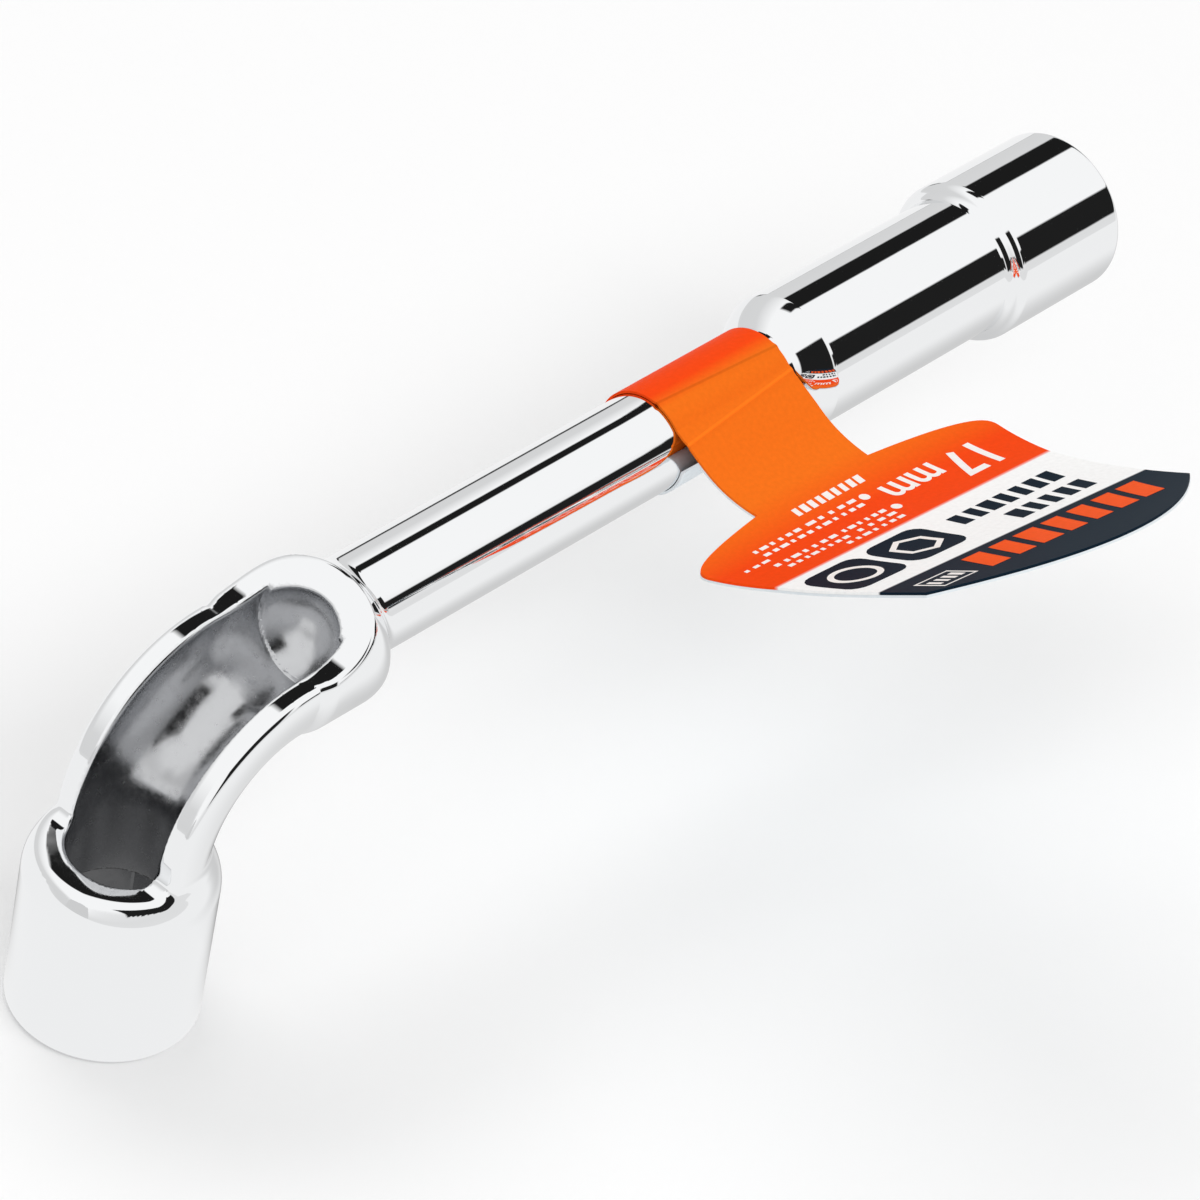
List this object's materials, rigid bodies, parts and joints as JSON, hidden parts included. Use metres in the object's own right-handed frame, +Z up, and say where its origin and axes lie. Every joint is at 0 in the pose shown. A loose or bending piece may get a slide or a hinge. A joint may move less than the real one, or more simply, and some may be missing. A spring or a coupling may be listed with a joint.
{
  "type": "lug wrench",
  "caption": "Angled double-ended 17 mm socket wrench with an open elbow head, a straight deep head and a folded hang tag on a strap round the shaft.",
  "frame": {"origin": "centre of the elbow head's mouth, in the plane of its rim", "axes": "+X along the shaft towards the straight head, +Z up along the elbow head's axis away from its mouth; the steel is symmetric about Y = 0 and the tag's card stands out towards -Y"},
  "size_m": [0.1925, 0.0783, 0.0691],
  "materials": {
    "chrome": "mirror chrome plate on forged chrome-vanadium steel",
    "tag_print": "glossy printed polypropylene sheet",
    "tag_plain": "unprinted back of the same sheet"
  },
  "bodies": {
    "wrench": {"elbow_head": "chrome", "elbow_bend": "chrome", "collar": "chrome", "shaft": "chrome", "barrel": "chrome", "straight_head": "chrome"},
    "tag_strap": {"tag_strap_front": "tag_print", "tag_strap_back": "tag_plain"},
    "tag_card": {"tag_card_front": "tag_print", "tag_card_back": "tag_plain"}
  },
  "joints": [
    {"name": "strap_slide", "type": "slide", "parent": "wrench", "child": "tag_strap", "axis": [1, 0, 0], "range_m": [-0.0535, 0.001]},
    {"name": "card_fold", "type": "hinge", "parent": "tag_strap", "child": "tag_card", "pos_m": [0.1031, -0.00937, 0.04849], "axis": [1, 0, 0], "range_deg": [-80, 70]}
  ]
}
